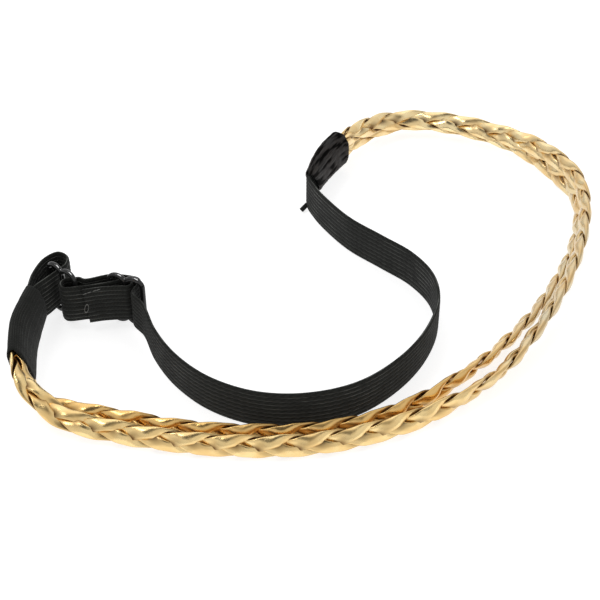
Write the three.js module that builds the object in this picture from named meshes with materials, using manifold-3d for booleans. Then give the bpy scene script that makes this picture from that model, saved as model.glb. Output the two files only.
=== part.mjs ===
// A braided headband lying on its edge on a table: two gold leatherette plaits, one in front of
// the other, are held at both ends by cloth covers and closed into a loop by a black elastic strap
// that is threaded through two wire sliders. Millimetres, +Z up, the table at z = 0.
import * as THREE from 'three';
import { mergeVertices } from 'three/addons/utils/BufferGeometryUtils.js';
import Module from 'manifold-3d';

const wasm = await Module();
wasm.setup();

const GAP = 0.3;
const UP = new THREE.Vector3(0, 0, 1);
// The tables below count from a mark on the table top; the part's origin is under the loop's middle.
const MIDDLE = { x: 2.82, y: 11.35 };

const ELASTIC = { width: 10, thickness: 0.9 };
const STRIP = { width: 2.1, thickness: 0.45 };
// A strip swings across the plait once in every period and weaves over and under its neighbours. It
// tilts to lie on them like a shingle, and is gathered narrower where it turns at the plait's edges.
const PLAIT = { swing: 1.9, weave: 0.72, tilt: 24, gather: 0.55, periods: 11, stepsPerPeriod: 12 };
const COVER = { width: 13.2, thickness: 5.6, wall: 0.8, steps: 8 };
const SLIDER = { wire: 1.2, barPitch: 4.2, height: 14, sides: 8, steps: 24 };
const THREADED_HEIGHT = SLIDER.height / 2;

// Routes: a row for each section, x and y on the table, z the middle of the piece, and lean the
// angle in degrees by which its upper edge tips to the outside of the loop.
const FRONT_PLAIT = [
  { x: -61.9, y: -21.5, z: 9.7, lean: 22 },
  { x: -61.5, y: -28.0, z: 9.6, lean: 34 },
  { x: -58.0, y: -36.7, z: 7.5, lean: 80 },
  { x: -49.6, y: -42.9, z: 4, lean: 126 },
  { x: -37.0, y: -46.3, z: 2.9, lean: 148 },
  { x: -23.9, y: -48.9, z: 2.75, lean: 158 },
  { x: -10.9, y: -50.0, z: 2.75, lean: 160 },
  { x: 2.1, y: -49.5, z: 2.75, lean: 160 },
  { x: 14.5, y: -46.4, z: 2.75, lean: 161 },
  { x: 25.5, y: -41.6, z: 2.75, lean: 170 },
  { x: 35.5, y: -35.1, z: 2.8, lean: 194 },
  { x: 44.2, y: -27.4, z: 3.2, lean: 216 },
  { x: 51.5, y: -18.4, z: 4.7, lean: 213 },
  { x: 58.2, y: -7.7, z: 6.3, lean: 208 },
  { x: 63.8, y: 4.2, z: 7.4, lean: 202 },
  { x: 67.8, y: 16.2, z: 8, lean: 195 },
  { x: 70.3, y: 28.7, z: 8.1, lean: 189 },
  { x: 69.9, y: 38.1, z: 8.1, lean: 187 },
  { x: 66.5, y: 46.1, z: 7.9, lean: 189 },
  { x: 60.7, y: 55.2, z: 6.6, lean: 200 },
  { x: 53.2, y: 62.5, z: 5.2, lean: 214 },
  { x: 42.0, y: 68.1, z: 5, lean: 219 },
  { x: 30.3, y: 70.0, z: 4.95, lean: 219 },
  { x: 21.7, y: 66.8, z: 6.1, lean: 206 },
  { x: 16.4, y: 61.2, z: 8.1, lean: 192 },
  { x: 12.4, y: 56.0, z: 9.2, lean: 182 },
  { x: 7.8, y: 49.8, z: 9.4, lean: 180 },
];
const BACK_PLAIT = [
  { x: -59.9, y: -21.5, z: 4.8, lean: 22 },
  { x: -58.7, y: -28.0, z: 4.75, lean: 34 },
  { x: -53.7, y: -36.9, z: 3.4, lean: 82 },
  { x: -46.2, y: -40.6, z: 2.9, lean: 126 },
  { x: -35.4, y: -43.1, z: 2.75, lean: 148 },
  { x: -23.5, y: -45.5, z: 2.75, lean: 158 },
  { x: -11.0, y: -46.6, z: 2.75, lean: 160 },
  { x: 1.7, y: -46.2, z: 2.75, lean: 160 },
  { x: 13.2, y: -43.5, z: 2.75, lean: 161 },
  { x: 23.8, y: -38.3, z: 2.75, lean: 170 },
  { x: 33.3, y: -30.7, z: 2.75, lean: 194 },
  { x: 41.4, y: -23.0, z: 2.75, lean: 215 },
  { x: 49.1, y: -14.0, z: 2.75, lean: 212 },
  { x: 55.8, y: -4.4, z: 2.75, lean: 206 },
  { x: 61.4, y: 5.7, z: 2.75, lean: 198 },
  { x: 66.1, y: 16.7, z: 2.75, lean: 190 },
  { x: 69.2, y: 28.0, z: 2.75, lean: 184 },
  { x: 69.7, y: 39.1, z: 2.75, lean: 182 },
  { x: 66.5, y: 47.0, z: 2.75, lean: 186 },
  { x: 60.8, y: 57.4, z: 2.75, lean: 201 },
  { x: 53.6, y: 64.3, z: 2.9, lean: 213 },
  { x: 42.3, y: 69.9, z: 2.95, lean: 218 },
  { x: 30.5, y: 72.3, z: 2.95, lean: 218 },
  { x: 21.9, y: 69.5, z: 2.9, lean: 207 },
  { x: 16.6, y: 63.8, z: 3.1, lean: 193 },
  { x: 12.5, y: 56.6, z: 3.9, lean: 182 },
  { x: 7.8, y: 49.8, z: 4, lean: 180 },
];
const LEFT_COVER = [
  { x: -60.2, y: -9.5, z: 7.3, lean: 6 },
  { x: -60.9, y: -15.5, z: 7.3, lean: 13 },
  { x: -60.9, y: -21.5, z: 7.3, lean: 22 },
  { x: -60.1, y: -28.0, z: 7.3, lean: 32 },
];
const FAR_COVER = [
  { x: 11.8, y: 55.4, z: 6.7, lean: 0 },
  { x: 7.8, y: 49.8, z: 6.7, lean: 0 },
  { x: 4.4, y: 43.2, z: 6.7, lean: 0 },
];
const LONG_STRAP = [
  { x: 7.1, y: 48.6, z: 6.5 },
  { x: 4.2, y: 42.8, z: 6.3 },
  { x: 2.0, y: 36.8, z: 5.6 },
  { x: 3.2, y: 31.4, z: 5.15 },
  { x: 6.8, y: 25.6, z: 5.02 },
  { x: 12.2, y: 18.7, z: 5 },
  { x: 19.3, y: 12.0, z: 5 },
  { x: 26.2, y: 5.3, z: 5 },
  { x: 30.4, y: -2.4, z: 5 },
  { x: 31.0, y: -11.2, z: 5 },
  { x: 27.4, y: -21.8, z: 5 },
  { x: 20.8, y: -31.2, z: 5 },
  { x: 12.0, y: -38.4, z: 5 },
  { x: 1.5, y: -41.7, z: 5 },
  { x: -9.0, y: -41.3, z: 5 },
  { x: -19.0, y: -36.9, z: 5 },
  { x: -26.8, y: -29.6, z: 5.05 },
  { x: -31.9, y: -21.6, z: 5.4 },
  { x: -34.8, y: -14.6, z: 6.3 },
];
const TAB_LOOP = [
  { x: -61.75, y: -15.5, lean: -13 },
  { x: -61.2, y: -10.0, lean: -6 },
  { x: -60.3, y: -4.6, lean: -2 },
  { x: -58.6, y: 0.8, lean: 0 },
  { x: -55.8, y: 3.1, lean: 0 },
  { x: -53.6, y: 1.6, lean: 0 },
  { x: -53.5, y: -1.2, lean: 0 },
  { x: -55.2, y: -3.7, lean: 0 },
  { x: -57.2, y: -6.6, lean: 2 },
  { x: -59.4, y: -10.0, lean: 6 },
  { x: -59.95, y: -15.5, lean: 13 },
];

// Each slider stands upright; turn is the direction, in degrees, of the line through its three bars.
const LEFT_SLIDER = { x: -53.9, y: -4.9, turn: -39 };
const STRAP_SLIDER = { x: -39.2, y: -8.0, turn: -20 };

const GOLD = { color: 0xd8a547, metalness: 0.85, roughness: 0.35 };
const ELASTIC_BLACK = { color: 0x161514, metalness: 0, roughness: 0.9 };
const COVER_BLACK = { color: 0x1a1716, metalness: 0, roughness: 0.8 };
const WIRE_BLACK = { color: 0x101010, metalness: 0.6, roughness: 0.35 };

// The place and directions of a piece that follows a table of rows, at a share of its length, or
// at a share of its rows: across its width towards its upper edge, and through it to the inner face.
function makeRoute(rows, byLength) {
  const places = rows.map((row) => new THREE.Vector3(row.x - MIDDLE.x, row.y - MIDDLE.y, row.z));
  const path = new THREE.CatmullRomCurve3(places, false, 'centripetal');
  path.arcLengthDivisions = 100 * rows.length;
  const leans = new THREE.SplineCurve(rows.map((row, i) => new THREE.Vector2(i, row.lean ?? 0)));
  return (share) => {
    const t = byLength ? path.getUtoTmapping(share) : share;
    const along = path.getTangent(t);
    const outward = new THREE.Vector3().crossVectors(along, UP).normalize();
    const upward = new THREE.Vector3().crossVectors(outward, along);
    const lean = THREE.MathUtils.degToRad(leans.getPoint(t).y);
    return {
      place: path.getPoint(t),
      across: upward.clone().multiplyScalar(Math.cos(lean)).addScaledVector(outward, Math.sin(lean)),
      through: upward.multiplyScalar(Math.sin(lean)).addScaledVector(outward, -Math.cos(lean)),
    };
  };
}

// Carries a straight piece, made along z from 0 to 1, onto a route: its x runs through, its y across.
function carryOnto(geometry, route) {
  const position = geometry.attributes.position;
  const point = new THREE.Vector3();
  for (let i = 0; i < position.count; i += 1) {
    const { place, across, through } = route(THREE.MathUtils.clamp(position.getZ(i), 0, 1));
    point.copy(place).addScaledVector(through, position.getX(i)).addScaledVector(across, position.getY(i));
    position.setXYZ(i, point.x, point.y, point.z);
  }
  geometry.computeVertexNormals();
  return geometry;
}

// A flat strip or ribbon, straight along z from 0 to 1.
function straightRibbon(width, thickness, steps) {
  const ribbon = new THREE.BoxGeometry(thickness, width, 1, 1, 1, steps);
  return ribbon.translate(0, 0, 0.5);
}

function makeMesh(name, geometry, look) {
  const mesh = new THREE.Mesh(geometry, new THREE.MeshStandardMaterial(look));
  mesh.name = name;
  return mesh;
}

// One strip of a plait: each of the three is a third of a period behind the one before.
function plaitStrip(route, index) {
  const steps = PLAIT.periods * PLAIT.stepsPerPeriod;
  const strip = straightRibbon(STRIP.width, STRIP.thickness, steps);
  const position = strip.attributes.position;
  for (let i = 0; i < position.count; i += 1) {
    const phase = -2 * Math.PI * (PLAIT.periods * position.getZ(i) + index / 3);
    const tilt = -THREE.MathUtils.degToRad(PLAIT.tilt) * Math.sin(3 * phase);
    const through = position.getX(i);
    const across = position.getY(i) * (1 - PLAIT.gather * Math.cos(phase) ** 2);
    position.setX(i, PLAIT.weave * Math.sin(2 * phase) + across * Math.sin(tilt) + through * Math.cos(tilt));
    position.setY(i, PLAIT.swing * Math.cos(phase) + across * Math.cos(tilt) - through * Math.sin(tilt));
  }
  return carryOnto(strip, route);
}

function plait(name, rows) {
  const route = makeRoute(rows, true);
  return [0, 1, 2].map((index) => makeMesh(`${name}_strand_${index + 1}`, plaitStrip(route, index), GOLD));
}

// A flat cloth sleeve, open at both ends.
function cover(name, rows) {
  const rectangle = (width, thickness) => [
    new THREE.Vector2(-thickness / 2, -width / 2),
    new THREE.Vector2(thickness / 2, -width / 2),
    new THREE.Vector2(thickness / 2, width / 2),
    new THREE.Vector2(-thickness / 2, width / 2),
  ];
  const section = new THREE.Shape(rectangle(COVER.width, COVER.thickness));
  const inside = rectangle(COVER.width - 2 * COVER.wall, COVER.thickness - 2 * COVER.wall);
  section.holes.push(new THREE.Path(inside));
  const sleeve = new THREE.ExtrudeGeometry(section, { depth: 1, steps: COVER.steps, bevelEnabled: false });
  return makeMesh(name, carryOnto(sleeve, makeRoute(rows, true)), COVER_BLACK);
}

// A row of a threaded ribbon, from its place along and behind a slider's line of bars.
function atSlider(slider, { along, behind }) {
  const turn = THREE.MathUtils.degToRad(slider.turn);
  return {
    x: slider.x + along * Math.cos(turn) - behind * Math.sin(turn),
    y: slider.y + along * Math.sin(turn) + behind * Math.cos(turn),
    z: THREADED_HEIGHT,
  };
}

// Rows on an arc in a slider's plan, its angles in degrees from the line of bars.
function arcAtSlider(slider, { along, behind, radius, from, to, count }) {
  return Array.from({ length: count }, (unused, i) => {
    const angle = THREE.MathUtils.degToRad(from + ((to - from) * i) / (count - 1));
    const place = { along: along + radius * Math.cos(angle), behind: behind + radius * Math.sin(angle) };
    return atSlider(slider, place);
  });
}

// The strap comes up to its slider, passes between the middle and right bars and behind the others
// to the left slider, turns round that one's right bar, comes back in front, goes round the middle
// bar of its own slider and ends, cut, in front of itself.
function strapRows() {
  const pitch = SLIDER.barPitch;
  const bar = SLIDER.wire / 2;
  const layer = ELASTIC.thickness + GAP;
  const fold = bar + GAP + ELASTIC.thickness / 2;
  const slot = (fold + layer + pitch - bar - ELASTIC.thickness / 2) / 2;
  const bend = 1.5;
  const comesUp = { along: slot, behind: -2.4 };
  const throughSlot = {
    along: slot - bend, behind: fold + layer - bend, radius: bend, from: 0, to: 90, count: 4,
  };
  const behindLeftBar = { along: -pitch, behind: fold + 0.2 };
  const towardsTurn = { along: pitch + 1.2, behind: fold + 0.6 };
  const intoTurn = { along: pitch - 0.3, behind: fold + 0.2 };
  const leftTurn = { along: 2.95, behind: -1.4, radius: 1.75, from: 120, to: 285, count: 6 };
  const outOfTurn = { along: -8.6, behind: -4.5 };
  const beforeLeftBar = { along: -pitch - 0.3, behind: -fold - 0.5 };
  const middleFold = { along: 0, behind: 0, radius: fold, from: 115, to: -90, count: 8 };
  const overOuterLayer = { along: -pitch, behind: -fold - layer - 0.7 };
  const cutEnd = { along: -9.0, behind: -5.9 };
  return [
    ...LONG_STRAP,
    atSlider(STRAP_SLIDER, comesUp),
    ...arcAtSlider(STRAP_SLIDER, throughSlot),
    atSlider(STRAP_SLIDER, behindLeftBar),
    atSlider(LEFT_SLIDER, towardsTurn),
    atSlider(LEFT_SLIDER, intoTurn),
    ...arcAtSlider(LEFT_SLIDER, leftTurn),
    atSlider(STRAP_SLIDER, outOfTurn),
    atSlider(STRAP_SLIDER, beforeLeftBar),
    ...arcAtSlider(STRAP_SLIDER, middleFold),
    atSlider(STRAP_SLIDER, overOuterLayer),
    atSlider(STRAP_SLIDER, cutEnd),
  ];
}

function ribbonMesh(name, rows, stepsPerRow) {
  const steps = stepsPerRow * (rows.length - 1);
  const ribbon = straightRibbon(ELASTIC.width, ELASTIC.thickness, steps);
  return makeMesh(name, carryOnto(ribbon, makeRoute(rows, false)), ELASTIC_BLACK);
}

// One wire loop with straight bars and round ends, its left bar on the z axis line at x = 0.
function wireLoop() {
  const { wire, barPitch, height, sides, steps } = SLIDER;
  const radius = barPitch / 2;
  const straight = height - wire - 2 * radius;
  const corners = [];
  for (const [middle, from] of [[wire / 2 + radius + straight, 0], [wire / 2 + radius, Math.PI]]) {
    for (let i = 0; i <= steps / 2 - 1; i += 1) {
      const angle = from + (Math.PI * i) / (steps / 2 - 1);
      corners.push({ angle, x: radius + radius * Math.cos(angle), z: middle + radius * Math.sin(angle) });
    }
  }
  const tube = new THREE.CylinderGeometry(wire / 2, wire / 2, steps, sides, steps, true);
  const position = tube.attributes.position;
  for (let i = 0; i < position.count; i += 1) {
    const corner = corners[(Math.round(position.getY(i)) + steps / 2) % steps];
    const outward = -position.getX(i);
    position.setXYZ(i, corner.x + outward * Math.cos(corner.angle), position.getZ(i),
      corner.z + outward * Math.sin(corner.angle));
  }
  return tube;
}

function toSolid(geometry) {
  const bare = geometry.clone();
  bare.deleteAttribute('normal');
  bare.deleteAttribute('uv');
  const merged = mergeVertices(bare, 1e-4);
  return new wasm.Manifold(new wasm.Mesh({
    numProp: 3,
    vertProperties: merged.attributes.position.array,
    triVerts: merged.index.array,
  }));
}

function toGeometry(solid) {
  const { vertProperties, triVerts } = solid.getMesh();
  const geometry = new THREE.BufferGeometry();
  geometry.setAttribute('position', new THREE.BufferAttribute(vertProperties, 3));
  geometry.setIndex(new THREE.BufferAttribute(triVerts, 1));
  geometry.computeVertexNormals();
  return geometry;
}

// Two wire loops side by side that share the middle bar, as one figure of eight.
function slider(name, place) {
  const left = wireLoop().translate(-SLIDER.barPitch, 0, 0);
  const right = wireLoop();
  const mesh = makeMesh(name, toGeometry(toSolid(left).add(toSolid(right))), WIRE_BLACK);
  mesh.position.set(place.x - MIDDLE.x, place.y - MIDDLE.y, 0);
  mesh.rotation.z = THREE.MathUtils.degToRad(place.turn);
  return mesh;
}

const headband = new THREE.Group();
headband.add(
  ...plait('front_plait', FRONT_PLAIT),
  ...plait('back_plait', BACK_PLAIT),
  cover('left_cover', LEFT_COVER),
  cover('far_cover', FAR_COVER),
  ribbonMesh('elastic_strap', strapRows(), 4),
  ribbonMesh('tab_loop', TAB_LOOP.map((row) => ({ ...row, z: THREADED_HEIGHT })), 4),
  slider('left_slider', LEFT_SLIDER),
  slider('strap_slider', STRAP_SLIDER),
);

export default headband;
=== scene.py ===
import math

import bpy
import mathutils
import numpy as np
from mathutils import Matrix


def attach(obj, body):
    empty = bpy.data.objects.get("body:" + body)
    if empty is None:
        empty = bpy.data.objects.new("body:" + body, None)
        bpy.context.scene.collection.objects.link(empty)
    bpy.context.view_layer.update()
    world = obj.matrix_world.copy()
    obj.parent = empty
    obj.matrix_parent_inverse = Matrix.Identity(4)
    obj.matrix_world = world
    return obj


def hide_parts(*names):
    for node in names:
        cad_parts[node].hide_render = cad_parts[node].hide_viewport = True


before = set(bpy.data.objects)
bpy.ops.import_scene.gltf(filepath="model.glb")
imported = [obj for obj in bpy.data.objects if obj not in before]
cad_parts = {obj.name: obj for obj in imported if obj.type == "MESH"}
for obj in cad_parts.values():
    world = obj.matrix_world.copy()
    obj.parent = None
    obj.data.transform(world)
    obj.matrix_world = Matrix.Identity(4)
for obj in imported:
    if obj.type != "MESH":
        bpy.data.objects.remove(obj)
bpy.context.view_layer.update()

# Plaits: two flat three-strip braids of gold-foiled leatherette lacing lie one in front of the
# other round the head. The strips are soft, domed over their folded edges, and plaited by hand, so
# no two turns are quite alike.
MM = 0.001
LOOP_MIDDLE = np.array([2.82, 11.35, 0.0])
STRIP = {
    "half_width": 1.58, "half_thickness": 0.42, "squareness": 2.15, "dome": 0.17, "ring_points": 40,
    "fold": 0.03, "fold_place": 0.7, "fold_width": 0.07, "full_at_turns": 0.4, "fuller_at_side": 0.7,
}
PLAIT = {
    "swing": 1.28, "weave": 0.6, "less_weave_at_side": 0.2, "tilt": 22.0, "lap": 9.0, "gather": 0.18,
    "periods": 11, "steps_per_period": 40,
}
# About this share of their length the plaits go round the side of the loop. The strips are fuller
# there, and lap the other way beyond it.
LOOP_SIDE = {"middle": 0.53, "reach": 0.14, "change": 0.07}
PRESSED_END = {"flattening": 0.4, "reach": 0.03}
HAND_PLAITED = {"phase": 0.10, "width": 0.05, "swing": 0.05}
# Where a strip gets painted shade as it passes under the next one, where its rim begins, and how
# far along the back plait a painted reflection of the front plait, in deeper gold, goes.
TUCK_SHADE = {"length": 0.5, "level": 0.45, "slope": 0.9, "strength": 1.8, "less_at_side": 0.95}
RIM = {"start": 0.86, "width": 0.1}
AMBER_REFLECTION = {"end": 0.56, "fade": 0.2}

# A row for each section of a plait, in millimetres on the table: x, y, the height of the plait's
# middle, and the angle in degrees by which its upper edge leans to the outside of the loop.
FRONT_PLAIT = [
    (-61.4, -21.5, 9.7, 18), (-60.8, -28.0, 9.4, 21), (-59.9, -32.2, 8.7, 36), (-57.8, -36.6, 7.5, 80),
    (-49.6, -42.9, 4, 126), (-37.0, -46.3, 2.9, 148), (-23.9, -48.9, 2.75, 158),
    (-10.9, -50.0, 2.75, 160), (2.1, -49.5, 2.75, 160), (14.5, -46.4, 2.75, 161),
    (25.5, -41.6, 2.75, 170), (35.5, -35.1, 2.8, 194), (44.2, -27.4, 3.2, 216), (51.5, -18.4, 4.7, 213),
    (58.2, -7.7, 6.3, 208), (63.8, 4.2, 7.4, 202), (67.8, 16.2, 8, 195), (70.0, 28.7, 8.1, 189),
    (69.5, 38.1, 8.1, 187), (66.3, 46.1, 7.9, 189), (60.7, 55.2, 6.6, 200), (53.2, 62.5, 5.2, 214),
    (42.0, 68.1, 5, 219), (30.3, 70.0, 4.95, 219), (21.7, 66.8, 6.0, 207), (16.8, 61.6, 7.5, 197),
    (13.0, 57.2, 8.3, 190), (8.6, 50.3, 7.5, 186),
]
BACK_PLAIT = [
    (-60.2, -21.5, 4.8, 16), (-59.5, -28.2, 4.5, 19), (-58.0, -32.6, 3.9, 36), (-54.7, -37.5, 3.2, 80),
    (-46.2, -40.6, 2.9, 132), (-35.4, -43.1, 2.75, 157), (-23.5, -45.5, 2.75, 167),
    (-11.0, -46.6, 2.75, 169), (1.7, -46.2, 2.75, 169), (13.2, -43.5, 2.75, 170),
    (23.8, -38.3, 2.75, 176), (33.3, -30.7, 2.75, 194), (41.4, -23.0, 2.75, 215),
    (49.1, -14.0, 2.75, 212), (55.8, -4.4, 2.75, 206), (61.4, 5.7, 2.75, 198), (66.1, 16.7, 2.75, 190),
    (69.2, 28.0, 2.75, 184), (69.7, 39.1, 2.75, 182), (66.5, 47.0, 2.75, 186), (60.8, 57.4, 2.75, 201),
    (53.6, 64.3, 2.9, 213), (42.3, 69.9, 2.95, 218), (30.5, 72.3, 2.95, 218), (21.9, 69.5, 2.9, 207),
    (16.1, 64.2, 3.2, 197), (11.9, 58.4, 3.4, 188), (7.2, 51.2, 3.6, 184),
]


def smooth_through(rows, steps_per_row):
    """Points of a smooth curve through the rows of a table, with every column eased alike."""
    rows = np.array(rows, float)
    ends = np.vstack([2 * rows[0] - rows[1], rows, 2 * rows[-1] - rows[-2]])
    spans = np.sqrt(np.linalg.norm(np.diff(ends[:, :3], axis=0), axis=1))
    t = np.arange(steps_per_row)[:, None] / steps_per_row
    points = []
    for i in range(len(rows) - 1):
        before, here, after, beyond = ends[i:i + 4]
        d0, d1, d2 = spans[i:i + 3]
        leave = d1 * ((here - before) / d0 - (after - before) / (d0 + d1) + (after - here) / d1)
        reach = d1 * ((after - here) / d1 - (beyond - here) / (d1 + d2) + (beyond - after) / d2)
        bend = 3 * (after - here) - 2 * leave - reach
        points.append(here + leave * t + bend * t ** 2 + (2 * (here - after) + leave + reach) * t ** 3)
    points.append(rows[-1:])
    return np.vstack(points)


def length_along(points):
    """How far along its curve each point is, in millimetres."""
    return np.concatenate([[0], np.cumsum(np.linalg.norm(np.diff(points[:, :3], axis=0), axis=1))])


def even_steps(points, count):
    """The curve's points again, at even steps of its length."""
    gone = length_along(points)
    even = np.linspace(0, gone[-1], count)
    return np.column_stack([np.interp(even, gone, column) for column in points.T])


def carry_onto(points, across, through, onward=0.0):
    """Places, in metres, of a section's points at every step of a curve, from their distances across
    the piece to its upper edge, through it to its inner face, and onward along it."""
    along = np.gradient(points[:, :3], axis=0)
    along /= np.linalg.norm(along, axis=1)[:, None]
    outward = np.cross(along, (0, 0, 1))
    outward /= np.linalg.norm(outward, axis=1)[:, None]
    upward = np.cross(outward, along)
    lean = np.radians(points[:, 3:4])
    to_upper = upward * np.cos(lean) + outward * np.sin(lean)
    to_inner = upward * np.sin(lean) - outward * np.cos(lean)
    places = points[:, None, :3] + np.broadcast_to(onward, across.shape)[:, :, None] * along[:, None]
    places = places + across[:, :, None] * to_upper[:, None] + through[:, :, None] * to_inner[:, None]
    return (places - LOOP_MIDDLE) * MM


def rounded_ring(count, squareness):
    """A closed ring of points, from -1 to 1 across and through, between an ellipse and a rectangle."""
    turn = np.linspace(0, 2 * np.pi, count + 1)[None]
    blunt = 2 / squareness
    flat = np.sign(np.cos(turn)) * np.abs(np.cos(turn)) ** blunt
    thick = np.sign(np.sin(turn)) * np.abs(np.sin(turn)) ** blunt
    return flat, thick


def rolled_piece(name, places, **masks):
    """A grid rolled into a closed strip: places holds a ring of points for each step along it."""
    steps, ring = places.shape[:2]
    bpy.ops.object.select_all(action="DESELECT")
    bpy.ops.mesh.primitive_grid_add(x_subdivisions=ring - 1, y_subdivisions=steps - 1)
    piece = bpy.context.object
    piece.name = piece.data.name = name
    piece.data.vertices.foreach_set("co", places.astype(np.float32).ravel())
    for label, values in masks.items():
        mask = piece.data.attributes.new(label, "FLOAT", "POINT")
        mask.data.foreach_set("value", values.astype(np.float32).ravel())
    bpy.ops.object.mode_set(mode="EDIT")
    bpy.ops.mesh.select_all(action="SELECT")
    bpy.ops.mesh.remove_doubles(threshold=1e-7)
    bpy.ops.mesh.select_all(action="DESELECT")
    bpy.ops.mesh.select_non_manifold()
    bpy.ops.mesh.fill_holes(sides=0)
    bpy.ops.mesh.select_all(action="SELECT")
    bpy.ops.mesh.normals_make_consistent(inside=False)
    bpy.ops.object.mode_set(mode="OBJECT")
    bpy.ops.object.shade_smooth()
    return piece


def uneven(share, seed, waves=(3.1, 7.3, 12.7)):
    """A smooth hand-made unevenness between about -1 and 1 along a piece."""
    return sum(np.sin(2 * np.pi * (wave * share + seed * wave * 0.37)) for wave in waves) / len(waves)


def plait_strip(name, rows, index, seed, reflected_amber):
    """One strip of a plait, with masks for the painted shade where it passes under the next strip, its
    rims, and the painted reflection of the front plait on the back one.
    """
    steps = PLAIT["periods"] * PLAIT["steps_per_period"]
    points = even_steps(smooth_through(rows, 48), steps + 1)
    share = np.linspace(0, 1, steps + 1)[:, None]
    phase = -2 * np.pi * (PLAIT["periods"] * share + index / 3)
    phase = phase + HAND_PLAITED["phase"] * uneven(share, seed)
    flat, thick = rounded_ring(STRIP["ring_points"], STRIP["squareness"])
    from_fold = np.abs(flat) - STRIP["fold_place"]
    edge_fold = 1 - STRIP["fold"] * np.exp(-(from_fold / STRIP["fold_width"]) ** 2)
    gathered = np.cos(phase) ** 2
    from_end = np.minimum(share, 1 - share)
    pressed = 1 - PRESSED_END["flattening"] * np.exp(-(from_end / PRESSED_END["reach"]) ** 2)
    at_side = np.exp(-((share - LOOP_SIDE["middle"]) / LOOP_SIDE["reach"]) ** 2)
    wavering = 1 + HAND_PLAITED["width"] * uneven(share, seed + 2)
    width = STRIP["half_width"] * (1 - PLAIT["gather"] * gathered) * wavering
    fullness = STRIP["full_at_turns"] + STRIP["fuller_at_side"] * at_side
    depth = STRIP["half_thickness"] * (1 + fullness * gathered) * pressed
    across = width * flat
    through = depth * thick * edge_fold + STRIP["dome"] * np.sin(2 * phase) * (1 - flat ** 2)
    lap = PLAIT["lap"] * np.tanh((LOOP_SIDE["middle"] - share) / LOOP_SIDE["change"]) * pressed
    tilt = np.radians(lap - PLAIT["tilt"] * np.sin(3 * phase))
    middle = PLAIT["swing"] * (1 + HAND_PLAITED["swing"] * uneven(share, seed + 1)) * np.cos(phase)
    lift = PLAIT["weave"] * np.sin(2 * phase) * pressed * (1 - PLAIT["less_weave_at_side"] * at_side)
    places = carry_onto(
        points,
        middle + across * np.cos(tilt) - through * np.sin(tilt),
        lift + across * np.sin(tilt) + through * np.cos(tilt),
    )
    # Painted shade: the mask below darkens each strip where it passes under the next one, less so round the
    # side of the loop.
    crossing = np.exp(-(np.cos(phase) / TUCK_SHADE["length"]) ** 2)
    under_side = flat * np.sign(np.sin(phase)) * np.sign(thick)
    beneath = np.clip(TUCK_SHADE["level"] - TUCK_SHADE["slope"] * under_side, 0, 1)
    tucked = np.clip(TUCK_SHADE["strength"] * crossing * beneath, 0, 1) * (1 - TUCK_SHADE["less_at_side"] * at_side)
    rim = np.clip((np.abs(flat) - RIM["start"]) / RIM["width"], 0, 1) * np.ones_like(phase)
    # Painted reflection: deeper gold on the back plait's near part stands for the front plait mirrored in
    # it.
    deep = reflected_amber * np.clip((AMBER_REFLECTION["end"] - share) / AMBER_REFLECTION["fade"], 0, 1) * np.ones_like(flat)
    return rolled_piece(name, places, tucked=tucked, rim=rim, deep=deep, share=share * np.ones_like(flat))


def new_finish(name):
    """A new material, its node tree and its shader."""
    finish = bpy.data.materials.new(name)
    finish.use_nodes = True
    return finish, finish.node_tree, finish.node_tree.nodes["Principled BSDF"]


def add_node(tree, kind, inputs=None, **settings):
    """A node with its settings made, and its inputs set to values or linked to other nodes' outputs."""
    node = tree.nodes.new(kind)
    for key, value in settings.items():
        setattr(node, key, value)
    for key, value in (inputs or {}).items():
        if isinstance(value, bpy.types.NodeSocket):
            tree.links.new(value, node.inputs[key])
        else:
            node.inputs[key].default_value = value
    return node


def calculate(tree, operation, *values):
    """The output of a sum on values or other nodes' outputs."""
    return add_node(tree, "ShaderNodeMath", dict(enumerate(values)), operation=operation).outputs["Value"]


def blend_colours(tree, share, first, second):
    """The output of a mix of two colours."""
    mixed = add_node(tree, "ShaderNodeMix", {"Factor": share}, data_type="RGBA")
    for socket, colour in ((mixed.inputs[6], first), (mixed.inputs[7], second)):
        if isinstance(colour, bpy.types.NodeSocket):
            tree.links.new(colour, socket)
        else:
            socket.default_value = colour
    return mixed.outputs[2]


def new_group(name, inputs, outputs):
    """A shader node group, its inputs and the places for its outputs."""
    group = bpy.data.node_groups.new(name, "ShaderNodeTree")
    for label, kind in inputs.items():
        group.interface.new_socket(label, in_out="INPUT", socket_type=kind)
    for label, kind in outputs.items():
        group.interface.new_socket(label, in_out="OUTPUT", socket_type=kind)
    return group, add_node(group, "NodeGroupInput").outputs, add_node(group, "NodeGroupOutput").inputs


# Handling: a slow fade along a piece, soft patches where it has been rubbed, and the fine grain on it.
handling, given, wanted = new_group(
    "handling",
    {"Place": "NodeSocketVector"},
    {"Fade": "NodeSocketFloat", "Patches": "NodeSocketFloat", "Grain": "NodeSocketFloat"},
)
fade = add_node(handling, "ShaderNodeTexNoise", {"Vector": given["Place"], "Scale": 38, "Detail": 1})
patches = add_node(handling, "ShaderNodeTexNoise", {"Vector": given["Place"], "Scale": 240, "Detail": 3})
grain = add_node(handling, "ShaderNodeTexNoise", {"Vector": given["Place"], "Scale": 2600, "Detail": 2})
rubbed = add_node(
    handling, "ShaderNodeMapRange", {"Value": patches.outputs["Fac"], "From Min": 0.32, "From Max": 0.68},
    interpolation_type="SMOOTHSTEP",
)
faded = add_node(
    handling, "ShaderNodeMapRange", {"Value": fade.outputs["Fac"], "From Min": 0.35, "From Max": 0.65},
    interpolation_type="SMOOTHSTEP",
)
handling.links.new(faded.outputs["Result"], wanted["Fade"])
handling.links.new(rubbed.outputs["Result"], wanted["Patches"])
handling.links.new(grain.outputs["Fac"], wanted["Grain"])

# Deeper gold, for rubbed patches and for the painted reflection of the front plait on the back one.
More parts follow.
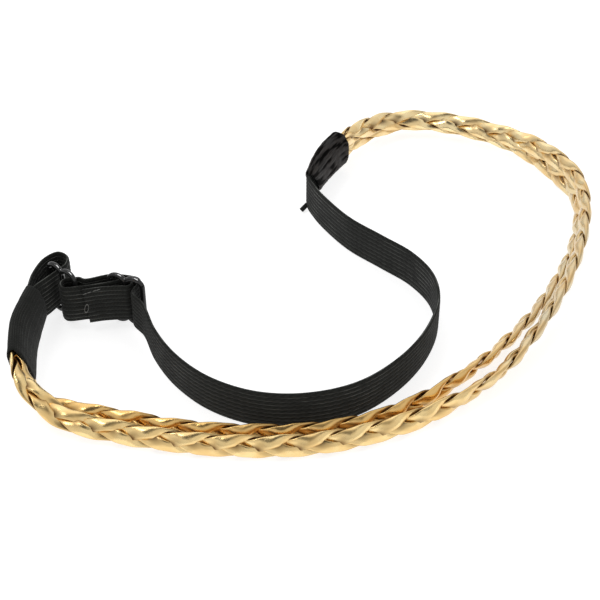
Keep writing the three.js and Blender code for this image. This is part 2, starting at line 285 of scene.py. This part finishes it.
DEEP_GOLD_TONE_AND_REFLECTION = (0.79, 0.47, 0.14, 1)
# The foil's gold along the plaits, with painted shade round the side of the loop and painted light on the
# far part, which is paler.
FOIL_LIGHT_AND_SHADE_ALONG = [
    (0.0, (0.95, 0.715, 0.34, 1)), (0.38, (0.95, 0.715, 0.34, 1)), (0.50, (0.57, 0.495, 0.34, 1)),
    (0.64, (0.66, 0.54, 0.325, 1)), (0.80, (1.0, 0.805, 0.45, 1)), (1.0, (1.0, 0.805, 0.45, 1)),
]
# Painted shade: the dark brown in the slits where a strip passes under the next one.
SLIT_SHADE_BROWN = (0.09, 0.032, 0.005, 1)
RIM_BROWN = (0.55, 0.33, 0.10, 1)

gold_finish, tree, shader = new_finish("gold_leatherette")
place = add_node(tree, "ShaderNodeTexCoord")
worn = add_node(tree, "ShaderNodeGroup", {"Place": place.outputs["Object"]}, node_tree=handling)
tucked = add_node(tree, "ShaderNodeAttribute", attribute_name="tucked")
rim = add_node(tree, "ShaderNodeAttribute", attribute_name="rim")
share = add_node(tree, "ShaderNodeAttribute", attribute_name="share")
along = add_node(tree, "ShaderNodeValToRGB", {"Fac": share.outputs["Fac"]})
for position, _ in FOIL_LIGHT_AND_SHADE_ALONG[1:-1]:
    along.color_ramp.elements.new(position)
for stop, (position, colour) in zip(along.color_ramp.elements, FOIL_LIGHT_AND_SHADE_ALONG):
    stop.color = colour
deep = add_node(tree, "ShaderNodeAttribute", attribute_name="deep")
worn_patches = calculate(tree, "MULTIPLY", worn.outputs["Patches"], 0.45)
tone_patches_and_reflection = calculate(tree, "MAXIMUM", worn_patches, deep.outputs["Fac"])
foil = blend_colours(tree, tone_patches_and_reflection, along.outputs["Color"], DEEP_GOLD_TONE_AND_REFLECTION)
edged = blend_colours(tree, calculate(tree, "MULTIPLY", rim.outputs["Fac"], 0.38), foil, RIM_BROWN)
# Painted shade fills the slits under crossing strips.
shaded = blend_colours(tree, tucked.outputs["Fac"], edged, SLIT_SHADE_BROWN)
strip_map = add_node(tree, "ShaderNodeMapping", {"Vector": place.outputs["UV"], "Scale": (8, 170, 1)})
creases = add_node(
    tree, "ShaderNodeTexNoise", {"Vector": strip_map.outputs["Vector"], "Scale": 1.0, "Detail": 4},
)
polish = add_node(
    tree, "ShaderNodeMapRange", {"Value": worn.outputs["Patches"], "To Min": 0.22, "To Max": 0.36},
)
crease_bump = add_node(
    tree, "ShaderNodeBump", {"Height": creases.outputs["Fac"], "Strength": 0.2, "Distance": 0.0003},
)
grain_bump = add_node(
    tree, "ShaderNodeBump",
    {
        "Height": worn.outputs["Grain"], "Normal": crease_bump.outputs["Normal"],
        "Strength": 0.1, "Distance": 0.0001,
    },
)
tree.links.new(shaded, shader.inputs["Base Color"])
tree.links.new(polish.outputs["Result"], shader.inputs["Roughness"])
tree.links.new(grain_bump.outputs["Normal"], shader.inputs["Normal"])
shader.inputs["Metallic"].default_value = 1.0
coat = calculate(tree, "MULTIPLY_ADD", tucked.outputs["Fac"], -0.35, 0.35)
tree.links.new(coat, shader.inputs["Coat Weight"])
shader.inputs["Coat Roughness"].default_value = 0.18

# The last number is how strongly the painted reflection of the front plait tints the back plait.
for plait, rows, seed, reflected_amber in (("front_plait", FRONT_PLAIT, 0, 0.0), ("back_plait", BACK_PLAIT, 4, 0.75)):
    for index in range(3):
        node = f"{plait}_strand_{index + 1}"
        strip = plait_strip(f"{plait}_strip_{index + 1}", rows, index, seed + index, reflected_amber)
        strip.data.materials.append(gold_finish)
        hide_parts(node)
        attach(strip, "root")

# Elastic: ten-millimetre ribbed braid, its rubber cores covered in black yarn. The long strap runs
# from the far cover through both sliders and back, and its end is cut on a slant; a short tab loops
# through the left slider.
ELASTIC = {
    "half_width": 5.0, "half_thickness": 0.33, "rib": 0.13, "ribs": 9, "rib_roundness": 0.7,
    "edge_squareness": 10, "face_points": 73, "gather_reach": 9, "slant_reach": 5,
}
LONG_STRAP = [
    (7.1, 48.6, 6.0), (4.2, 42.8, 5.9), (2.0, 36.8, 5.5), (3.6, 31.9, 5.25), (7.0, 25.9, 5.05),
    (12.2, 18.7, 5.0), (19.3, 12.0, 5.0), (26.2, 5.3, 5.0), (30.4, -2.4, 5.0), (31.0, -11.2, 5.0),
    (27.4, -21.8, 5.0), (20.8, -31.2, 5.0), (12.0, -38.4, 5.0), (1.5, -41.7, 5.0), (-9.0, -41.3, 5.0),
    (-19.0, -36.9, 5.0), (-26.8, -29.6, 5.05), (-31.9, -21.6, 5.4), (-34.8, -14.6, 6.3),
]
TAB_LOOP = [
    (-61.0, -15.5, 7.0, -8), (-60.6, -10.0, 7.0, -4), (-60.3, -4.6, 7.0, -2), (-58.6, 0.8, 7.0, 0),
    (-55.8, 3.1, 7.0, 0), (-53.6, 1.6, 7.0, 0), (-53.5, -1.2, 7.0, 0), (-55.2, -3.7, 7.0, 0),
    (-57.2, -6.6, 7.0, 2), (-59.4, -10.0, 7.0, 4), (-59.9, -15.5, 7.0, 8),
]
LEFT_SLIDER = {"x": -53.9, "y": -4.9, "turn": -39.0}
STRAP_SLIDER = {"x": -39.2, "y": -8.0, "turn": -20.0}
BAR_PITCH = 4.2
SLIDER_MIDDLE = 7.0


def at_slider(slider, along, behind, height=SLIDER_MIDDLE):
    """A place along, and behind, a slider's line of bars."""
    turn = math.radians(slider["turn"])
    x = slider["x"] + along * math.cos(turn) - behind * math.sin(turn)
    y = slider["y"] + along * math.sin(turn) + behind * math.cos(turn)
    return (x, y, height)


def arc_at_slider(slider, along, behind, radius, start, stop, count):
    """Rows of the strap on an arc beside a slider's bar, from one angle to another."""
    angles = np.radians(np.linspace(start, stop, count))
    return [at_slider(slider, along + radius * math.cos(a), behind + radius * math.sin(a)) for a in angles]


threaded_strap = [
    at_slider(STRAP_SLIDER, 2.85, -2.4),
    *arc_at_slider(STRAP_SLIDER, 1.35, 1.05, 1.5, 0, 90, 4),
    at_slider(STRAP_SLIDER, -BAR_PITCH, 1.55),
    at_slider(LEFT_SLIDER, 5.4, 1.95),
    at_slider(LEFT_SLIDER, 3.9, 1.55),
    *arc_at_slider(LEFT_SLIDER, 3.55, -1.4, 1.75, 120, 285, 6),
    at_slider(STRAP_SLIDER, -8.6, -4.5),
    at_slider(STRAP_SLIDER, -4.5, -1.85),
    *arc_at_slider(STRAP_SLIDER, 0, 0, 1.35, 115, -90, 8),
    at_slider(STRAP_SLIDER, -BAR_PITCH, -3.25),
    at_slider(STRAP_SLIDER, -7.6, -5.4),
]


def elastic_ribbon(name, rows, steps_per_row, gathered=0.0, slant=0.0):
    """A ribbed ribbon; its first end can be gathered narrower and its last one cut on a slant."""
    rows = [(*row[:3], row[3] if len(row) > 3 else 0) for row in rows]
    points = smooth_through(rows, steps_per_row)
    gone = length_along(points)[:, None]
    face = np.linspace(1, -1, ELASTIC["face_points"])
    edge = np.sqrt(1 - np.abs(face) ** ELASTIC["edge_squareness"])
    ridges = np.abs(np.sin(np.pi * ELASTIC["ribs"] * (face + 1) / 2)) ** ELASTIC["rib_roundness"]
    surface = edge * (ELASTIC["half_thickness"] + ELASTIC["rib"] * ridges)
    wide = np.concatenate([face, face[::-1][1:]])[None]
    through = np.concatenate([surface, -surface[::-1][1:]])[None] * np.ones_like(gone)
    half_width = ELASTIC["half_width"] * (1 - gathered * np.exp(-(gone / ELASTIC["gather_reach"]) ** 2))
    near_end = np.clip(1 - (gone[-1] - gone) / ELASTIC["slant_reach"], 0, 1)
    return rolled_piece(name, carry_onto(points, half_width * wide, through, slant * near_end ** 2 * wide))


# Knitted ribs: the groove between two ribs, the slanting stitches of the yarn, and their height.
knitted_ribs, given, wanted = new_group(
    "knitted_ribs",
    {"Map": "NodeSocketVector", "Ribs": "NodeSocketFloat", "Courses": "NodeSocketFloat"},
    {"Groove": "NodeSocketFloat", "Stitch": "NodeSocketFloat", "Height": "NodeSocketFloat"},
)
mapped = add_node(knitted_ribs, "ShaderNodeSeparateXYZ", {"Vector": given["Map"]})
ribs_across = calculate(knitted_ribs, "MULTIPLY", mapped.outputs["X"], given["Ribs"])
rib_place = calculate(knitted_ribs, "FRACT", ribs_across)
from_middle = calculate(knitted_ribs, "ABSOLUTE", calculate(knitted_ribs, "SUBTRACT", rib_place, 0.5))
groove = add_node(
    knitted_ribs, "ShaderNodeMapRange", {"Value": from_middle, "From Min": 0.40, "From Max": 0.49},
    interpolation_type="SMOOTHSTEP",
)
courses = calculate(knitted_ribs, "MULTIPLY", mapped.outputs["Y"], given["Courses"])
slanted = calculate(knitted_ribs, "ADD", courses, calculate(knitted_ribs, "MULTIPLY", from_middle, 1.6))
stitch = calculate(knitted_ribs, "PINGPONG", slanted, 0.5)
low_groove = calculate(knitted_ribs, "MULTIPLY", groove.outputs["Result"], -0.8)
knitted_ribs.links.new(groove.outputs["Result"], wanted["Groove"])
knitted_ribs.links.new(calculate(knitted_ribs, "MULTIPLY", stitch, 2.0), wanted["Stitch"])
knitted_ribs.links.new(calculate(knitted_ribs, "ADD", stitch, low_groove), wanted["Height"])

YARN_BLACK = (0.0056, 0.0062, 0.0050, 1)
YARN_GREY = (0.025, 0.0262, 0.0235, 1)
# Painted highlight: the pale grey of the broken lines between the ribs.
RIB_HIGHLIGHT_GREY = (0.20, 0.205, 0.19, 1)


def knitted_finish(name, ribs, courses, rib_highlight_share):
    """Black ribbed knit, with broken paler lines between the ribs as a painted highlight."""
    finish, tree, shader = new_finish(name)
    place = add_node(tree, "ShaderNodeTexCoord")
    worn = add_node(tree, "ShaderNodeGroup", {"Place": place.outputs["Object"]}, node_tree=handling)
    knit = add_node(
        tree, "ShaderNodeGroup", {"Map": place.outputs["UV"], "Ribs": ribs, "Courses": courses},
        node_tree=knitted_ribs,
    )
    fuzz = calculate(tree, "MULTIPLY", knit.outputs["Stitch"], worn.outputs["Grain"])
    yarn = blend_colours(tree, fuzz, YARN_BLACK, YARN_GREY)
    shown = add_node(
        tree, "ShaderNodeMapRange", {"Value": worn.outputs["Fade"], "To Min": 0.25, "To Max": rib_highlight_share},
    )
    broken = calculate(tree, "MULTIPLY", knit.outputs["Groove"], worn.outputs["Patches"])
    lines = calculate(tree, "MULTIPLY", broken, shown.outputs["Result"])
    # The paler lines between the ribs are painted highlight.
    with_rib_highlight = blend_colours(tree, lines, yarn, RIB_HIGHLIGHT_GREY)
    knit_bump = add_node(
        tree, "ShaderNodeBump", {"Height": knit.outputs["Height"], "Strength": 0.5, "Distance": 0.00015},
    )
    tree.links.new(with_rib_highlight, shader.inputs["Base Color"])
    tree.links.new(knit_bump.outputs["Normal"], shader.inputs["Normal"])
    shader.inputs["Roughness"].default_value = 0.8
    shader.inputs["Specular IOR Level"].default_value = 0.18
    shader.inputs["Sheen Weight"].default_value = 0.03
    return finish


strap = elastic_ribbon("elastic_strap_braid", LONG_STRAP + threaded_strap, 10, gathered=0.2, slant=0.45)
strap.data.materials.append(knitted_finish("black_elastic", ribs=18.0, courses=280.0, rib_highlight_share=0.8))

# Sewing thread: a few grey stitches near the strap's cut end, and a slack loop of the same thread. A
# short end of the elastic's own black yarn sticks out at the far bend. All are joined into the strap.
STRAP_END_TURN = math.radians(12.3)
STRAP_END_FACE = {"behind": -3.86, "slope": 0.632}
STITCHES = [(-7.3, 10.95), (-6.5, 11.2), (-5.4, 11.5), (-4.7, 11.65)]
STITCH = {"half_length": 0.5, "slope": -15, "shape": (1.0, 0.2, 0.15)}
THREAD_LOOP = {
    "along": -7.3, "height": 6.7, "radius": 1.0, "thread": 0.13, "slope": 12, "shape": (0.42, 1.15, 1.0),
}
YARN_END = {"place": (1.1, 35.4, 0.95), "radius": 0.6, "length": 2.2, "tip": 62, "turn": 38}
THREAD_DARK = (0.07, 0.07, 0.066, 1)
THREAD_PALE = (0.22, 0.22, 0.205, 1)


def on_strap_end(along, height):
    """A place, in metres, on the outside of the strap's last layer."""
    behind = STRAP_END_FACE["behind"] + (along + BAR_PITCH) * STRAP_END_FACE["slope"]
    return (np.array(at_slider(STRAP_SLIDER, along, behind, height)) - LOOP_MIDDLE) * MM


thread_finish, tree, shader = new_finish("grey_thread")
place = add_node(tree, "ShaderNodeTexCoord")
worn = add_node(tree, "ShaderNodeGroup", {"Place": place.outputs["Object"]}, node_tree=handling)
thread_grey = blend_colours(tree, worn.outputs["Grain"], THREAD_DARK, THREAD_PALE)
tree.links.new(thread_grey, shader.inputs["Base Color"])
shader.inputs["Roughness"].default_value = 0.6

bpy.ops.object.select_all(action="DESELECT")
threads = []
for along, height in STITCHES:
    bpy.ops.mesh.primitive_uv_sphere_add(
        segments=16, ring_count=10, radius=STITCH["half_length"] * MM, location=on_strap_end(along, height),
        rotation=(0, math.radians(STITCH["slope"]), STRAP_END_TURN), scale=STITCH["shape"],
    )
    threads.append(bpy.context.object)
bpy.ops.mesh.primitive_torus_add(
    major_segments=48, minor_segments=10,
    major_radius=THREAD_LOOP["radius"] * MM, minor_radius=THREAD_LOOP["thread"] * MM,
    location=on_strap_end(THREAD_LOOP["along"], THREAD_LOOP["height"]),
    rotation=(math.pi / 2, math.radians(THREAD_LOOP["slope"]), STRAP_END_TURN),
)
threads.append(bpy.context.object)
threads[-1].scale = THREAD_LOOP["shape"]
bpy.ops.mesh.primitive_cylinder_add(
    vertices=20, radius=YARN_END["radius"] * MM, depth=YARN_END["length"] * MM,
    location=(np.array(YARN_END["place"]) - LOOP_MIDDLE) * MM,
    rotation=(0, math.radians(YARN_END["tip"]), math.radians(YARN_END["turn"])),
)
threads.append(bpy.context.object)
threads[-1].data.materials.append(strap.data.materials[0])
for thread in threads:
    if not thread.data.materials:
        thread.data.materials.append(thread_finish)
    thread.select_set(True)
strap.select_set(True)
bpy.ops.object.transform_apply(location=True, rotation=True, scale=True)
bpy.context.view_layer.objects.active = strap
bpy.ops.object.join()
bpy.ops.object.shade_smooth()

tab = elastic_ribbon("tab_loop_braid", TAB_LOOP, 12)
tab.data.materials.append(knitted_finish("black_tab_elastic", ribs=18.0, courses=52.0, rib_highlight_share=0.8))
for ribbon, node, length in ((strap, "elastic_strap", 0.225), (tab, "tab_loop", 0.0422)):
    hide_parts(node)
    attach(ribbon, "root")

# Covers: black cloth is wrapped round each pair of plait ends and glued, and takes in the end of the
# elastic at its other mouth. The left one is ribbed elastic, the far one creased brown-black cloth.
SLEEVE = {
    "wall": 0.55, "lip": 0.3, "squareness": 2.7, "sections": 37, "ring_points": 96,
    "ragged": 0.25, "crumple": 0.05, "waver": 0.04, "lap": 0.22, "lap_place": 0.2,
}
# A row for each section of a cover: x, y, height, lean, half its width and half its thickness.
LEFT_COVER = [
    (-59.6, -8.6, 7.2, 4, 6.0, 1.6), (-60.3, -15.5, 7.2, 9, 6.3, 1.6),
    (-60.6, -21.5, 7.2, 14, 6.3, 1.5), (-59.7, -31.4, 6.8, 17, 5.6, 1.75),
]
FAR_COVER = [
    (10.2, 54.6, 6.1, 3, 4.8, 2.65), (7.3, 49.8, 6.1, 2, 4.9, 2.5),
    (4.9, 44.5, 6.0, 0, 5.1, 2.1), (3.3, 39.6, 6.0, 0, 5.3, 1.5),
]


def cover_sleeve(name, rows, first_slant, last_slant, seed):
    """An open sleeve; its mouths slant by a distance onward at their upper and lower edges."""
    points = even_steps(smooth_through(rows, 24), SLEEVE["sections"])
    half_width, half_thickness = points[:, 4:5], points[:, 5:6]
    share = np.linspace(0, 1, len(points))[:, None]
    flat, thick = rounded_ring(SLEEVE["ring_points"], SLEEVE["squareness"])
    around = np.linspace(0, 1, SLEEVE["ring_points"] + 1)[None]
    onward = flat * (first_slant * (1 - share) ** 2 + last_slant * share ** 2)
    onward = onward + SLEEVE["ragged"] * uneven(around, seed, (2, 5, 9)) * (2 * share - 1) ** 4
    crumple = 1 + SLEEVE["crumple"] * uneven(share * 0.4 + around, seed, (1, 2, 4))
    crumple = crumple + SLEEVE["waver"] * uneven(share * 0.6, seed)
    to_lap = np.cos(2 * np.pi * (around - SLEEVE["lap_place"]))
    lapped = SLEEVE["lap"] * np.clip((to_lap - 0.25) / 0.1, 0, 1)
    layers = []
    for inset in (0.0, 0.5, 1.0):
        inwards = inset * SLEEVE["wall"]
        wide = (half_width - inwards) * flat
        deep = (half_thickness * crumple + lapped * (1 - inset) - inwards) * thick
        rounded = SLEEVE["lip"] * (inset == 0.5) * np.sign(share - 0.5)
        layers.append(carry_onto(points, wide, deep, onward + rounded))
    outer, lip, inner = layers
    return rolled_piece(name, np.vstack([lip[:1], outer, lip[-1:], inner[::-1], lip[:1]]))


COVER_BLACK = (0.012, 0.0105, 0.0098, 1)
COVER_BROWN = (0.034, 0.0258, 0.0218, 1)
# Painted shade: the near-black darkening in the cloth's creases.
CREASE_SHADE_BLACK = (0.002, 0.0017, 0.0015, 1)
cloth_finish, tree, shader = new_finish("cover_cloth")
place = add_node(tree, "ShaderNodeTexCoord")
worn = add_node(tree, "ShaderNodeGroup", {"Place": place.outputs["Object"]}, node_tree=handling)
fuzz = calculate(tree, "MULTIPLY", worn.outputs["Patches"], worn.outputs["Grain"])
fold_map = add_node(tree, "ShaderNodeMapping", {"Vector": place.outputs["UV"], "Scale": (16, 5, 1)})
folds = add_node(
    tree, "ShaderNodeTexNoise", {"Vector": fold_map.outputs["Vector"], "Scale": 1.0, "Detail": 2},
)
crease_shade = add_node(
    tree, "ShaderNodeMapRange",
    {"Value": folds.outputs["Fac"], "From Min": 0.40, "From Max": 0.54, "To Min": 1.0, "To Max": 0.0},
    interpolation_type="SMOOTHSTEP",
)
smooth_cloth = blend_colours(tree, fuzz, COVER_BLACK, COVER_BROWN)
# Painted shade darkens the creases, which are also made less shiny below.
cloth = blend_colours(tree, crease_shade.outputs["Result"], smooth_cloth, CREASE_SHADE_BLACK)
fold_bump = add_node(
    tree, "ShaderNodeBump", {"Height": folds.outputs["Fac"], "Strength": 0.8, "Distance": 0.0012},
)
cloth_bump = add_node(
    tree, "ShaderNodeBump",
    {
        "Height": worn.outputs["Grain"], "Normal": fold_bump.outputs["Normal"],
        "Strength": 0.4, "Distance": 0.00015,
    },
)
tree.links.new(cloth, shader.inputs["Base Color"])
tree.links.new(cloth_bump.outputs["Normal"], shader.inputs["Normal"])
shader.inputs["Roughness"].default_value = 0.7
cloth_shine = calculate(tree, "MULTIPLY_ADD", crease_shade.outputs["Result"], -0.25, 0.27)
tree.links.new(cloth_shine, shader.inputs["Specular IOR Level"])

left_cover = cover_sleeve("left_cover_wrap", LEFT_COVER, first_slant=2.2, last_slant=-1.2, seed=1)
ribbed_cloth = knitted_finish("ribbed_cover_cloth", ribs=30.0, courses=60.0, rib_highlight_share=0.12)
left_cover.data.materials.append(ribbed_cloth)
far_cover = cover_sleeve("far_cover_wrap", FAR_COVER, first_slant=0.0, last_slant=3.6, seed=3)
far_cover.data.materials.append(cloth_finish)
# A sleeve's flat size is the way round it and the length of its middle line.
for sleeve, node, flat_size in (
    (left_cover, "left_cover", (0.027, 0.0228)),
    (far_cover, "far_cover", (0.0245, 0.0166)),
):
    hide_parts(node)
    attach(sleeve, "root")

# Sliders: each is two wire loops side by side with a shared middle bar, dipped in glossy black. The
# left one hangs in the tab, and the strap is threaded through both of them.
WIRE = {"radius": 0.6, "loop": 2.1, "straight": 8.6, "overlap": 0.02}
DIP_BLACK = (0.003, 0.003, 0.003, 1)
DIP_GREY = (0.007, 0.007, 0.007, 1)


def wire_slider(name, place):
    """Two stretched rings of wire, joined into one piece and set in their place on the table."""
    loops = []
    for side in (-1, 1):
        bpy.ops.object.select_all(action="DESELECT")
        bpy.ops.mesh.primitive_torus_add(
            major_segments=48, minor_segments=20,
            major_radius=WIRE["loop"] * MM, minor_radius=WIRE["radius"] * MM,
            location=(side * (WIRE["loop"] - WIRE["overlap"]) * MM, 0, 0), rotation=(math.pi / 2, 0, 0),
        )
        loop = bpy.context.object
        bpy.ops.object.transform_apply(location=True, rotation=True, scale=True)
        for vertex in loop.data.vertices:
            vertex.co.z += math.copysign(WIRE["straight"] / 2 * MM, vertex.co.z + 1e-9)
        loops.append(loop)
    joined, other = loops
    union = joined.modifiers.new("shared_bar", "BOOLEAN")
    union.operation = "UNION"
    union.object = other
    bpy.context.view_layer.objects.active = joined
    bpy.ops.object.modifier_apply(modifier=union.name)
    bpy.data.objects.remove(other)
    bpy.ops.object.select_all(action="DESELECT")
    joined.select_set(True)
    joined.name = joined.data.name = name
    joined.location = (np.array([place["x"], place["y"], SLIDER_MIDDLE]) - LOOP_MIDDLE) * MM
    joined.rotation_euler.z = math.radians(place["turn"])
    bpy.ops.object.transform_apply(location=True, rotation=True, scale=True)
    bpy.ops.object.shade_smooth()
    return joined


wire_finish, tree, shader = new_finish("slider_wire")
place = add_node(tree, "ShaderNodeTexCoord")
worn = add_node(tree, "ShaderNodeGroup", {"Place": place.outputs["Object"]}, node_tree=handling)
gloss = add_node(
    tree, "ShaderNodeMapRange", {"Value": worn.outputs["Patches"], "To Min": 0.04, "To Max": 0.09},
)
dip_bump = add_node(
    tree, "ShaderNodeBump", {"Height": worn.outputs["Patches"], "Strength": 0.02, "Distance": 0.0001},
)
dip = blend_colours(tree, worn.outputs["Grain"], DIP_BLACK, DIP_GREY)
tree.links.new(dip, shader.inputs["Base Color"])
tree.links.new(gloss.outputs["Result"], shader.inputs["Roughness"])
tree.links.new(dip_bump.outputs["Normal"], shader.inputs["Normal"])
shader.inputs["Specular IOR Level"].default_value = 0.35

sliders = bpy.data.collections.new("sliders")
for name, place in (("left_slider", LEFT_SLIDER), ("strap_slider", STRAP_SLIDER)):
    slider = wire_slider(f"{name}_wire", place)
    slider.data.materials.append(wire_finish)
    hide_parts(name)
    sliders.objects.link(slider)
    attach(slider, "root")

# Table and light: a plain white table top under a wide soft light, seen from the front and above. One
# lamp lights only the wires, whose gloss the even light would hide.
FLOOR = {"side": 3.0, "drop": 0.0001}
CAMERA_HEIGHT = math.radians(40.0)
CAMERA_DISTANCE = 0.328
DARK_PATCH_HEIGHT = math.radians(72)
# Each lamp's place and width in metres, its power, and the pieces that it lights if not all of them.
LAMPS = [
    ((-0.10, 0.55, 0.62), 1.0, 1.0, None),
    ((-0.30, -0.05, 0.62), 0.2, 0.65, None),
    ((0.05, -0.10, 0.70), 0.5, 17.0, sliders),
]

bpy.ops.object.select_all(action="DESELECT")
bpy.ops.mesh.primitive_plane_add(size=FLOOR["side"], location=(0, 0, -FLOOR["drop"]))
table_top = bpy.context.object
table_top.name = "table_top"
table_finish, tree, shader = new_finish("white_table")
shader.inputs["Base Color"].default_value = (0.5, 0.5, 0.5, 1)
shader.inputs["Roughness"].default_value = 0.9
shader.inputs["Specular IOR Level"].default_value = 0.0
shader.inputs["Emission Color"].default_value = (1, 1, 1, 1)
shader.inputs["Emission Strength"].default_value = 0.76
table_top.data.materials.append(table_finish)

to_dark_patch = (0, -math.cos(DARK_PATCH_HEIGHT), math.sin(DARK_PATCH_HEIGHT))
studio = bpy.data.worlds.new("studio")
bpy.context.scene.world = studio
studio.use_nodes = True
tree = studio.node_tree
sky = add_node(tree, "ShaderNodeTexCoord")
parts = add_node(tree, "ShaderNodeSeparateXYZ", {"Vector": sky.outputs["Generated"]})
overhead = add_node(
    tree, "ShaderNodeMapRange",
    {"Value": parts.outputs["Z"], "From Min": 0.0, "From Max": 0.8, "To Min": 0.74, "To Max": 0.84},
)
facing = add_node(
    tree, "ShaderNodeVectorMath", {0: sky.outputs["Generated"], 1: to_dark_patch}, operation="DOT_PRODUCT",
)
dim_front = add_node(
    tree, "ShaderNodeMapRange",
    {"Value": facing.outputs["Value"], "From Min": 0.84, "From Max": 0.97, "To Min": 1.0, "To Max": 0.1},
    interpolation_type="SMOOTHSTEP",
)
brightness = calculate(tree, "MULTIPLY", overhead.outputs["Result"], dim_front.outputs["Result"])
tree.links.new(brightness, tree.nodes["Background"].inputs["Color"])

for place, size, energy, only_for in LAMPS:
    bpy.ops.object.light_add(type="AREA", location=place)
    lamp = bpy.context.object
    lamp.rotation_euler = (-mathutils.Vector(place)).to_track_quat("-Z", "Y").to_euler()
    lamp.data.shape = "DISK"
    lamp.data.size = size
    lamp.data.energy = energy
    if only_for:
        lamp.light_linking.receiver_collection = only_for

aim = -LOOP_MIDDLE * MM
to_camera = np.array([0, -math.cos(CAMERA_HEIGHT), math.sin(CAMERA_HEIGHT)])
bpy.ops.object.camera_add(
    location=aim + CAMERA_DISTANCE * to_camera, rotation=(math.pi / 2 - CAMERA_HEIGHT, 0, 0),
)
camera = bpy.context.object
camera.data.lens = 84
camera.data.sensor_width = 36
bpy.context.scene.camera = camera
bpy.context.scene.view_settings.view_transform = "Standard"
